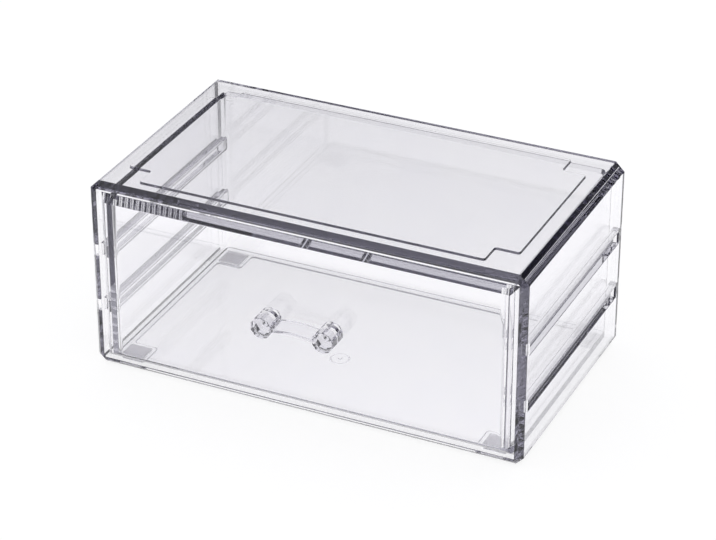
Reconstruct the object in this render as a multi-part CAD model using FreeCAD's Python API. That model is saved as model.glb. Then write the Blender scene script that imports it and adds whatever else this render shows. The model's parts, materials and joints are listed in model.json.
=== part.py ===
"""Clear stackable drawer box: a moulded casing, a sliding drawer with a bridge handle, and four anti-slip feet.

X is to the right, Y is to the back and Z is up. The origin is on the surface that the box stands on, at the
middle of the outline. Lengths are in millimetres.
"""
import FreeCAD, Part
import math
import os
from FreeCAD import Vector

# Driving dimensions of the casing
casing_width = 254.0
casing_depth = 143.0
casing_height = 113.3
top_chamfer_leg = 5.3
bottom_chamfer_leg = 4.2
end_bevel = 2.5
side_wall = 4.6
top_wall = 4.4
floor_wall = 3.6
back_wall = 2.0

# Runner ribs inside each side and the grooves behind them
rib_height = 7.3
rib_projection = 4.0
groove_depth = 3.4
lower_rib_centre = 34.8
upper_rib_centre = 69.1
rib_end_margin = 6.0

# Raised key on top and the recess under the floor that takes the key of the box below
key_height = 1.2
key_side_margin = 13.3
key_front_margin = 8.0
key_back_margin = 13.0
key_notch = 13.7
key_corner_radius = 1.5
recess_depth = 1.2
recess_side_margin = 12.4
recess_front_margin = 7.2
recess_back_margin = 5.0
recess_notch = 15.1
recess_corner_radius = 2.0
gate_ring_radius = 5.5
gate_ring_width = 0.6
gate_dot_radius = 1.1
gate_mark_height = 0.3
gate_mark_x = -3.0
gate_mark_from_front = 55.3

# Anti-slip feet in sockets under the casing
foot_size = 13.0
foot_thickness = 2.2
foot_projection = 1.0
foot_corner_radius = 0.6
foot_side_margin = 12.0
foot_front_margin = 7.0
foot_back_margin = 5.0
foot_rib_count = 7
foot_rib_depth = 0.5
foot_rib_share = 0.55

# Drawer
drawer_side_gap = 0.9
drawer_top_gap = 3.5
running_gap = 0.3
rib_clearance = 0.7
front_wall = 4.6
front_bevel_width = 4.0
front_bevel_depth = 4.3
tray_wall = 2.2
tray_floor = 2.8
drawer_depth = 140.6
tray_top_drop = 1.4
tray_rim_flat = 0.4
tray_front_radius = 4.0
tray_back_radius = 2.0
tray_floor_radius = 0.6

# Handle
knob_spacing = 36.0
knob_drop = 1.5
knob_projection = 13.0
knob_facets = 10
knob_radius = 6.3
knob_face_radius = 6.0
knob_rim_front = 12.7
knob_rim_back = 7.3
knob_neck_front = 7.0
knob_neck_back = 6.6
knob_neck_radius = 5.4
collar_radius = 6.3
collar_rim = 6.3
peg_radius = 2.4
peg_clearance = 0.1
bridge_thickness = 1.6
bridge_depth = 9.5
bridge_back_gap = 2.5
bridge_rise = 1.6
bridge_arch = 1.6
bridge_drop = 0.4
bridge_tongue = 1.4

# Film of air at every bonded face, which keeps two clear faces apart
bond_gap = 0.08

# Overrun of every cutting body past the face that it cuts
overrun = 1.0

# Two places nearer than this are the same
same_place = 1e-6

# Places that follow from the sizes above
half_width = casing_width / 2
front_y = -(casing_depth - knob_projection) / 2
back_y = front_y + casing_depth
casing_bottom = foot_projection
casing_top = casing_bottom + casing_height
cavity_half_width = half_width - side_wall
cavity_floor = casing_bottom + floor_wall
cavity_ceiling = casing_top - top_wall
drawer_bottom = cavity_floor + running_gap
drawer_top = cavity_ceiling - drawer_top_gap
drawer_half_width = cavity_half_width - drawer_side_gap
tray_half_width = cavity_half_width - rib_projection - rib_clearance
inner_front_y = front_y + front_wall
drawer_back_y = front_y + drawer_depth
tray_top = drawer_top - tray_top_drop
knob_z = casing_bottom + casing_height / 2 - knob_drop


def box(low, high):
    """Block between two opposite corners."""
    return Part.makeBox(high[0] - low[0], high[1] - low[1], high[2] - low[2], Vector(*low))


def fillet_along(solid, radius, wanted):
    """Round every straight edge of the solid that the test picks."""
    edges = [edge for edge in solid.Edges if wanted(edge)]
    return solid.makeFillet(radius, edges)


def is_upright(edge):
    """True for an edge that runs along Z."""
    start, end = edge.Vertexes[0].Point, edge.Vertexes[-1].Point
    return abs(start.x - end.x) < same_place and abs(start.y - end.y) < same_place and edge.Length > same_place


def end_outline(y, inset):
    """Eight corners of the casing's end view at depth y, moved inward by the inset."""
    half = half_width - inset
    low = casing_bottom + inset
    high = casing_top - inset
    leg_loss = inset * (2 - math.sqrt(2))
    upper = top_chamfer_leg - leg_loss
    lower = bottom_chamfer_leg - leg_loss
    right = [(half - lower, low), (half, low + lower), (half, high - upper), (half - upper, high)]
    left = [(-x, z) for x, z in reversed(right)]
    points = [Vector(x, y, z) for x, z in right + left]
    return Part.makePolygon(points + [points[0]])


def outer_block():
    """Casing's outside: chamfered long edges, and both ends bevelled all round."""
    sections = [
        end_outline(front_y, end_bevel),
        end_outline(front_y + end_bevel, 0),
        end_outline(back_y - end_bevel, 0),
        end_outline(back_y, end_bevel),
    ]
    return Part.makeLoft(sections, True, True)


def cavity():
    """Space inside the casing, open at the front."""
    low = (-cavity_half_width, front_y - overrun, cavity_floor)
    high = (cavity_half_width, back_y - back_wall, cavity_ceiling)
    return box(low, high)


def notched_plate(side_margin, front_margin, back_margin, notch, corner_radius, low, high):
    """Plate with a square notch in each corner and all its upright edges rounded."""
    half = half_width - side_margin
    front, back = front_y + front_margin, back_y - back_margin
    plate = box((-half, front, low), (half, back, high))
    for side in (-1, 1):
        inner_x, outer_x = side * (half - notch), side * (half + overrun)
        for inner_y, outer_y in ((front + notch, front - overrun), (back - notch, back + overrun)):
            low_corner = (min(inner_x, outer_x), min(inner_y, outer_y), low - overrun)
            high_corner = (max(inner_x, outer_x), max(inner_y, outer_y), high + overrun)
            plate = plate.cut(box(low_corner, high_corner))
    return fillet_along(plate, corner_radius, is_upright)


def foot_places():
    """Name, centre and place of each foot."""
    x = half_width - foot_side_margin - foot_size / 2
    front = front_y + foot_front_margin + foot_size / 2
    back = back_y - foot_back_margin - foot_size / 2
    return {
        "front_left_foot": (-x, front),
        "front_right_foot": (x, front),
        "back_left_foot": (-x, back),
        "back_right_foot": (x, back),
    }


def foot_pad(x, y):
    """Square anti-slip pad with fine ribs across its lower face."""
    half = foot_size / 2
    pad = box((x - half, y - half, 0), (x + half, y + half, foot_thickness))
    pad = fillet_along(pad, foot_corner_radius, is_upright)
    pitch = foot_size / foot_rib_count
    gap = pitch * (1 - foot_rib_share)
    for index in range(1, foot_rib_count):
        middle = y - half + index * pitch
        low = (x - half - overrun, middle - gap / 2, -overrun)
        high = (x + half + overrun, middle + gap / 2, foot_rib_depth)
        pad = pad.cut(box(low, high))
    return pad


def foot_socket(x, y):
    """Pocket under the casing that a foot is bonded into."""
    half = foot_size / 2 + bond_gap
    top = foot_thickness + bond_gap
    pocket = box((x - half, y - half, casing_bottom - overrun), (x + half, y + half, top))
    return fillet_along(pocket, foot_corner_radius + bond_gap, is_upright)


def gate_mark():
    """Ring and dot that the moulding gate leaves under the floor."""
    y = front_y + gate_mark_from_front
    low = casing_bottom + recess_depth - gate_mark_height
    centre = Vector(gate_mark_x, y, low)
    height = gate_mark_height + overrun
    ring = Part.makeCylinder(gate_ring_radius, height, centre)
    ring = ring.cut(Part.makeCylinder(gate_ring_radius - gate_ring_width, height, centre))
    return ring.fuse(Part.makeCylinder(gate_dot_radius, height, centre))


def casing_shell():
    """Outer box: five walls, runner ribs, stacking key, recess and foot sockets."""
    shell = outer_block().cut(cavity())
    rib_front = front_y + rib_end_margin
    rib_back = back_y - rib_end_margin
    for centre in (lower_rib_centre, upper_rib_centre):
        low = casing_bottom + centre - rib_height / 2
        high = low + rib_height
        for side in (-1, 1):
            root, tip = side * cavity_half_width, side * (cavity_half_width - rib_projection)
            rib = box((min(root, tip), rib_front, low), (max(root, tip), back_y - back_wall, high))
            shell = shell.fuse(rib)
            outside, bed = side * (half_width + overrun), side * (half_width - groove_depth)
            groove = box((min(outside, bed), rib_front, low), (max(outside, bed), rib_back, high))
            shell = shell.cut(groove)
    key = notched_plate(key_side_margin, key_front_margin, key_back_margin, key_notch, key_corner_radius,
                        casing_top - overrun, casing_top + key_height)
    recess = notched_plate(recess_side_margin, recess_front_margin, recess_back_margin, recess_notch,
                           recess_corner_radius, casing_bottom - overrun, casing_bottom + recess_depth)
    shell = shell.fuse(key).cut(recess)
    for x, y in foot_places().values():
        shell = shell.cut(foot_socket(x, y))
    return shell.fuse(gate_mark()).removeSplitter()


def drawer_outline(y, inset):
    """Rectangle of the drawer front at depth y, moved inward by the inset."""
    half = drawer_half_width - inset
    low, high = drawer_bottom + inset, drawer_top - inset
    corners = [(-half, low), (half, low), (half, high), (-half, high)]
    points = [Vector(x, y, z) for x, z in corners]
    return Part.makePolygon(points + [points[0]])


def front_plate():
    """Front of the drawer: a plate with a wide bevel round its edge."""
    sections = [
        drawer_outline(front_y, front_bevel_width),
        drawer_outline(front_y + front_bevel_depth, 0),
        drawer_outline(inner_front_y, 0),
    ]
    return Part.makeLoft(sections, True, True)


def is_back_upright(edge):
    """True for an upright edge in the drawer's back half."""
    return is_upright(edge) and edge.Vertexes[0].Point.y > (front_y + back_y) / 2


def is_front_upright(edge):
    """True for an upright edge in the drawer's front half."""
    return is_upright(edge) and not is_back_upright(edge)


def is_drawer_floor_edge(edge):
    """True for the edges where the drawer's walls meet its floor."""
    floor = drawer_bottom + tray_floor
    return all(abs(vertex.Point.z - floor) < same_place for vertex in edge.Vertexes)


def rim_slope():
    """Wedge that slopes the top of the drawer's walls down to their inner faces."""
    inner_half, inner_back = tray_half_width - tray_wall, drawer_back_y - tray_wall
    slope = tray_wall - tray_rim_flat
    sections = []
    for rise, spread in ((-slope, 0), (overrun, slope + overrun)):
        half, back = inner_half + spread, inner_back + spread
        corners = [(-half, inner_front_y), (half, inner_front_y), (half, back), (-half, back)]
        points = [Vector(x, y, tray_top + rise) for x, y in corners]
        sections.append(Part.makePolygon(points + [points[0]]))
    return Part.makeLoft(sections, True, True)


def drawer_body():
    """Drawer moulded in one: bevelled front, floor, sides and back, rounded inside, with two holes for the pegs."""
    low = (-tray_half_width, inner_front_y, drawer_bottom)
    high = (tray_half_width, drawer_back_y, tray_top)
    outside = fillet_along(box(low, high), tray_back_radius + tray_wall, is_back_upright)
    inner = tray_half_width - tray_wall
    low = (-inner, inner_front_y, drawer_bottom + tray_floor)
    high = (inner, drawer_back_y - tray_wall, tray_top + overrun)
    inside = fillet_along(box(low, high), tray_back_radius, is_back_upright)
    inside = fillet_along(inside, tray_front_radius, is_front_upright)
    inside = fillet_along(inside, tray_floor_radius, is_drawer_floor_edge)
    body = front_plate().fuse(outside).cut(inside).cut(rim_slope()).removeSplitter()
    for side in (-1, 1):
        start = Vector(side * knob_spacing / 2, front_y - overrun, knob_z)
        length = front_wall + 2 * overrun
        body = body.cut(Part.makeCylinder(peg_radius + peg_clearance, length, start, Vector(0, 1, 0)))
    return body


def facet_ring(x, y, radius):
    """Regular polygon round a knob's axis, standing on a corner."""
    step = 2 * math.pi / knob_facets
    angles = [index * step - math.pi / 2 for index in range(knob_facets)]
    points = [Vector(x + radius * math.cos(a), y, knob_z + radius * math.sin(a)) for a in angles]
    return Part.makePolygon(points + [points[0]])


def knob(side):
    """Faceted knob: cap, neck, collar against the drawer front, and a peg through it."""
    x = side * knob_spacing / 2
    rings = [
        (knob_projection, knob_face_radius),
        (knob_rim_front, knob_radius),
        (knob_rim_back, knob_radius),
        (knob_neck_front, knob_neck_radius),
        (knob_neck_back, knob_neck_radius),
        (collar_rim, collar_radius),
        (bond_gap, collar_radius),
    ]
    body = Part.makeLoft([facet_ring(x, front_y - out, radius) for out, radius in rings], True, True)
    peg_start = Vector(x, front_y - overrun, knob_z)
    peg = Part.makeCylinder(peg_radius, front_wall + overrun, peg_start, Vector(0, 1, 0))
    return body.fuse(peg).removeSplitter()


def bridge(growth):
    """Arched strap between the knobs, its back edge higher than its front edge, grown on every side."""
    y = front_y - bridge_back_gap - bridge_depth - growth
    reach = knob_spacing / 2 - knob_radius * math.cos(math.pi / knob_facets) + bridge_tongue + growth
    end_z = knob_z - bridge_drop + growth
    top_z = end_z + bridge_arch
    left, right = Vector(-reach, y, end_z), Vector(reach, y, end_z)
    down = Vector(0, 0, -bridge_thickness - 2 * growth)
    upper = Part.Arc(left, Vector(0, y, top_z), right).toShape()
    lower = Part.Arc(right + down, Vector(0, y, top_z) + down, left + down).toShape()
    ends = [Part.makeLine(right, right + down), Part.makeLine(left + down, left)]
    outline = Part.Wire([upper, ends[0], lower, ends[1]])
    return Part.Face(outline).extrude(Vector(0, bridge_depth + 2 * growth, bridge_rise))


def write(name, shape):
    """Save one piece as a STEP file."""
    solid = shape.Solids[0] if len(shape.Solids) == 1 else shape
    solid.exportStep(f"parts/{name}.step")
    print(name, len(shape.Solids), "solid", "valid" if shape.isValid() else "BAD")


def main():
    """Build every piece and write it."""
    os.makedirs("parts", exist_ok=True)
    write("casing_shell", casing_shell())
    for name, (x, y) in foot_places().items():
        write(name, foot_pad(x, y))
    write("drawer_body", drawer_body())
    for name, side in (("left_knob", -1), ("right_knob", 1)):
        write(name, knob(side).cut(bridge(bond_gap)))
    write("handle_bridge", bridge(0))


main()
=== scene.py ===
"""Looks of the clear stackable drawer box, on a plain white floor that glows round the box.

Lengths are in metres. The camera was fitted to the box's edges in the photograph.
"""
import bpy
import json
import math
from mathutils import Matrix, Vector

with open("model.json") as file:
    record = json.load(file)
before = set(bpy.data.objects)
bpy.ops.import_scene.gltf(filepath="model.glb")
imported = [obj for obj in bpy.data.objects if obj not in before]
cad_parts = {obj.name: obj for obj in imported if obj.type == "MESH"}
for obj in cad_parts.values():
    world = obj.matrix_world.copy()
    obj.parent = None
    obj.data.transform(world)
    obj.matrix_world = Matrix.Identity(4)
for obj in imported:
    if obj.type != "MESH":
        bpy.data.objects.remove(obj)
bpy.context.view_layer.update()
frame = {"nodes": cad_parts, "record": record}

# Camera, as fitted to the photograph
IMAGE_WIDTH = 716
FOCAL_PIXELS = 2746.9
SENSOR_WIDTH = 36.0
CAMERA_TARGET = (-0.00059, 0.0065, 0.05256)
CAMERA_AZIMUTH = 25.02
CAMERA_ELEVATION = 29.47
CAMERA_DISTANCE = 1.5115

# Clear plastic
PLASTIC_IOR = 1.59
CLEAR_TRANSMISSION = 1.0
CLEAR_TINTS = ((0.990, 0.988, 0.998), (0.996, 0.994, 1.0))
CLEAR_ROUGHNESS = (0.0, 0.012)
TINT_SCALE = 35.0
ROUGHNESS_SCALE = 120.0
NOISE_LIMITS = (0.35, 0.65)
ABSORBED_COLOUR = (0.17, 0.15, 0.28)
ABSORBED_DENSITY = {"casing_plastic": 11.0, "drawer_plastic": 5.0, "handle_plastic": 10.0}

# Moulded edges are rounded a little. A strip narrower than twice the radius would fold over itself,
# and the narrowest one on the drawer's front plate is 0.3 mm wide.
EDGE_RADIUS = {"casing_plastic": 0.0003, "drawer_plastic": 0.0001}
EDGE_STEPS = 4
EDGE_ANGLE = 33.0  # degrees between two faces above which their edge is rounded
WELD_DISTANCE = 0.000002

# Foot pads
PAD_TINTS = ((0.92, 0.91, 0.96), (0.98, 0.97, 1.0))
PAD_ROUGHNESS = (0.35, 0.55)
PAD_SCALE = 900.0
PAD_TRANSMISSION = 0.85

# Floor and surround
WHITE = (1, 1, 1, 1)
FLOOR_SIZE = 8.0
FLOOR_Z = -0.0002
FLOOR_ALBEDO = 0.25
FLOOR_ROUGHNESS = 1.0
# Painted light: the floor glows in a pool round the box for rays off the plastic, and only faintly beyond the
# pool
LIGHT_POOL_X = (-0.25, 0.32)
LIGHT_POOL_Y = (-0.50, 0.42)
LIGHT_POOL_FADE = 0.03
LIGHT_POOL_GLOW = 0.93
CAMERA_FLOOR = 0.86
GLOW_BEYOND_LIGHT_POOL = 0.04
SKY_STOPS = (
    (0.0, (0.03, 0.03, 0.035)),
    (0.44, (0.05, 0.05, 0.06)),
    (0.54, (0.9, 0.9, 0.94)),
    (1.0, (0.7, 0.7, 0.73)),
)
LIGHT_BOUNCES = 128


def new_material(name):
    """Node material with its tree and its main shader."""
    material = bpy.data.materials.new(name)
    material.use_nodes = True
    tree = material.node_tree
    return material, tree, tree.nodes["Principled BSDF"]


def noise_range(tree, scale, low, high):
    """Soft noise over the object, mapped between two values."""
    coordinates = tree.nodes.new("ShaderNodeTexCoord")
    noise = tree.nodes.new("ShaderNodeTexNoise")
    noise.inputs["Scale"].default_value = scale
    tree.links.new(coordinates.outputs["Object"], noise.inputs["Vector"])
    spread = tree.nodes.new("ShaderNodeMapRange")
    spread.inputs["From Min"].default_value = NOISE_LIMITS[0]
    spread.inputs["From Max"].default_value = NOISE_LIMITS[1]
    spread.inputs["To Min"].default_value = low
    spread.inputs["To Max"].default_value = high
    tree.links.new(noise.outputs["Fac"], spread.inputs["Value"])
    return spread.outputs["Result"]


def noise_tint(tree, scale, tints):
    """Two tints mixed by soft noise."""
    mix = tree.nodes.new("ShaderNodeMix")
    mix.data_type = "RGBA"
    tree.links.new(noise_range(tree, scale, 0.0, 1.0), mix.inputs["Factor"])
    for socket, tint in zip(("A", "B"), tints):
        mix.inputs[socket].default_value = (*tint, 1)
    return mix.outputs["Result"]


def clear_plastic(name, density):
    """Polished clear plastic with a faint uneven tint and finish."""
    material, tree, shader = new_material(name)
    shader.inputs["IOR"].default_value = PLASTIC_IOR
    shader.inputs["Transmission Weight"].default_value = CLEAR_TRANSMISSION
    tree.links.new(noise_tint(tree, TINT_SCALE, CLEAR_TINTS), shader.inputs["Base Color"])
    tree.links.new(noise_range(tree, ROUGHNESS_SCALE, *CLEAR_ROUGHNESS), shader.inputs["Roughness"])
    absorption = tree.nodes.new("ShaderNodeVolumeAbsorption")
    absorption.inputs["Color"].default_value = (*ABSORBED_COLOUR, 1)
    absorption.inputs["Density"].default_value = density
    tree.links.new(absorption.outputs["Volume"], tree.nodes["Material Output"].inputs["Volume"])
    return material


def pad_rubber(name):
    """Soft translucent pad with a fine grain."""
    material, tree, shader = new_material(name)
    shader.inputs["Transmission Weight"].default_value = PAD_TRANSMISSION
    tree.links.new(noise_tint(tree, PAD_SCALE, PAD_TINTS), shader.inputs["Base Color"])
    tree.links.new(noise_range(tree, PAD_SCALE, *PAD_ROUGHNESS), shader.inputs["Roughness"])
    return material


def smooth_start():
    """Node group that joins the faces along their edges and drops the stored normals."""
    group = bpy.data.node_groups.new("smooth_start", "GeometryNodeTree")
    group.interface.new_socket("Geometry", in_out="INPUT", socket_type="NodeSocketGeometry")
    group.interface.new_socket("Geometry", in_out="OUTPUT", socket_type="NodeSocketGeometry")
    source = group.nodes.new("NodeGroupInput")
    forget = group.nodes.new("GeometryNodeRemoveAttribute")
    forget.inputs["Name"].default_value = "custom_normal"
    weld = group.nodes.new("GeometryNodeMergeByDistance")
    weld.inputs["Distance"].default_value = WELD_DISTANCE
    smooth = group.nodes.new("GeometryNodeSetShadeSmooth")
    result = group.nodes.new("NodeGroupOutput")
    chain = (source, forget, weld, smooth, result)
    for step, following in zip(chain, chain[1:]):
        group.links.new(step.outputs["Geometry"], following.inputs["Geometry"])
    return group


def round_edges(piece, radius, start):
    """Round every sharp edge, and keep the flat faces flat."""
    piece.modifiers.new("smooth_start", "NODES").node_group = start
    rounded = piece.modifiers.new("round_edges", "BEVEL")
    rounded.width = radius
    rounded.segments = EDGE_STEPS
    rounded.use_clamp_overlap = False
    rounded.loop_slide = False
    rounded.face_strength_mode = "FSTR_ALL"
    rounded.limit_method = "ANGLE"
    rounded.angle_limit = math.radians(EDGE_ANGLE)
    flats = piece.modifiers.new("keep_flats_flat", "WEIGHTED_NORMAL")
    flats.use_face_influence = True


def dress(nodes):
    """Give every solid its material."""
    looks = {slot: clear_plastic(slot, density) for slot, density in ABSORBED_DENSITY.items()}
    looks["foot_rubber"] = pad_rubber("foot_rubber")
    start = smooth_start()
    for row in frame["record"]["subparts"]:
        piece = nodes[row["node"]]
        piece.data.materials.clear()
        piece.data.materials.append(looks[row["material_slot"]])
        if row["material_slot"] in EDGE_RADIUS:
            round_edges(piece, EDGE_RADIUS[row["material_slot"]], start)


def build_camera():
    """Camera at the photograph's place and lens."""
    azimuth, elevation = math.radians(CAMERA_AZIMUTH), math.radians(CAMERA_ELEVATION)
    flat = math.cos(elevation)
    offset = Vector((math.sin(azimuth) * flat, -math.cos(azimuth) * flat, math.sin(elevation)))
    data = bpy.data.cameras.new("camera")
    data.sensor_width = SENSOR_WIDTH
    data.lens = FOCAL_PIXELS / IMAGE_WIDTH * SENSOR_WIDTH
    camera = bpy.data.objects.new("camera", data)
    camera.location = Vector(CAMERA_TARGET) + offset * CAMERA_DISTANCE
    camera.rotation_euler = (-offset).to_track_quat("-Z", "Y").to_euler()
    bpy.context.scene.collection.objects.link(camera)
    bpy.context.scene.camera = camera


def product(tree, first, second):
    """Two values multiplied."""
    multiply = tree.nodes.new("ShaderNodeMath")
    multiply.operation = "MULTIPLY"
    tree.links.new(first, multiply.inputs[0])
    tree.links.new(second, multiply.inputs[1])
    return multiply.outputs["Value"]


def inside(tree, value, limits):
    """One between two limits and zero beyond them, with soft ends."""
    ends = []
    for limit, sign in zip(limits, (1, -1)):
        end = tree.nodes.new("ShaderNodeMapRange")
        end.interpolation_type = "SMOOTHSTEP"
        end.inputs["From Min"].default_value = limit - sign * LIGHT_POOL_FADE
        end.inputs["From Max"].default_value = limit + sign * LIGHT_POOL_FADE
        tree.links.new(value, end.inputs["Value"])
        ends.append(end.outputs["Result"])
    return product(tree, *ends)


def floor_material():
    """White for the camera, and for the plastic a painted pool of light round the object, faint beyond it."""
    material, tree, shader = new_material("floor_white_with_painted_light_pool")
    shader.inputs["Base Color"].default_value = (FLOOR_ALBEDO, FLOOR_ALBEDO, FLOOR_ALBEDO, 1)
    shader.inputs["Roughness"].default_value = FLOOR_ROUGHNESS
    shader.inputs["Emission Color"].default_value = WHITE
    geometry = tree.nodes.new("ShaderNodeNewGeometry")
    place = tree.nodes.new("ShaderNodeSeparateXYZ")
    tree.links.new(geometry.outputs["Position"], place.inputs["Vector"])
    # painted light: emission that is bright inside the pool round the box and faint outside it
    painted_light_pool = tree.nodes.new("ShaderNodeMapRange")
    painted_light_pool.inputs["To Min"].default_value = GLOW_BEYOND_LIGHT_POOL
    painted_light_pool.inputs["To Max"].default_value = LIGHT_POOL_GLOW
    spread = product(tree, inside(tree, place.outputs["X"], LIGHT_POOL_X), inside(tree, place.outputs["Y"], LIGHT_POOL_Y))
    tree.links.new(spread, painted_light_pool.inputs["Value"])
    # camera rays see the plain white glow, and reflected and refracted rays see the painted light pool
    path = tree.nodes.new("ShaderNodeLightPath")
    choice = tree.nodes.new("ShaderNodeMix")
    tree.links.new(path.outputs["Is Camera Ray"], choice.inputs["Factor"])
    tree.links.new(painted_light_pool.outputs["Result"], choice.inputs["A"])
    choice.inputs["B"].default_value = CAMERA_FLOOR
    tree.links.new(choice.outputs["Result"], shader.inputs["Emission Strength"])
    return material


def build_floor():
    """Wide plain floor under the feet."""
    half = FLOOR_SIZE / 2
    mesh = bpy.data.meshes.new("floor")
    corners = [(-half, -half, FLOOR_Z), (half, -half, FLOOR_Z), (half, half, FLOOR_Z), (-half, half, FLOOR_Z)]
    mesh.from_pydata(corners, [], [(0, 1, 2, 3)])
    floor = bpy.data.objects.new("floor", mesh)
    floor.data.materials.append(floor_material())
    bpy.context.scene.collection.objects.link(floor)


def build_sky():
    """Surround that the plastic sees dark near the horizon and bright above, and the camera sees white."""
    world = bpy.data.worlds.new("studio")
    world.use_nodes = True
    tree = world.node_tree
    coordinates = tree.nodes.new("ShaderNodeTexCoord")
    parts = tree.nodes.new("ShaderNodeSeparateXYZ")
    tree.links.new(coordinates.outputs["Generated"], parts.inputs["Vector"])
    ramp = tree.nodes.new("ShaderNodeValToRGB")
    tree.links.new(parts.outputs["Z"], ramp.inputs["Fac"])
    stops = ramp.color_ramp.elements
    while len(stops) < len(SKY_STOPS):
        stops.new(1.0)
    for stop, (place, colour) in zip(stops, SKY_STOPS):
        stop.position = place
        stop.color = (*colour, 1)
    path = tree.nodes.new("ShaderNodeLightPath")
    choice = tree.nodes.new("ShaderNodeMix")
    choice.data_type = "RGBA"
    tree.links.new(path.outputs["Is Camera Ray"], choice.inputs["Factor"])
    tree.links.new(ramp.outputs["Color"], choice.inputs["A"])
    choice.inputs["B"].default_value = WHITE
    tree.links.new(choice.outputs["Result"], tree.nodes["Background"].inputs["Color"])
    bpy.context.scene.world = world


def settings():
    """Enough light bounces for stacked clear walls."""
    scene = bpy.context.scene
    scene.view_settings.view_transform = "Standard"
    scene.cycles.max_bounces = LIGHT_BOUNCES
    scene.cycles.transmission_bounces = LIGHT_BOUNCES
    scene.cycles.glossy_bounces = LIGHT_BOUNCES
    scene.cycles.use_denoising = True


dress(frame["nodes"])
build_camera()
build_floor()
build_sky()
settings()
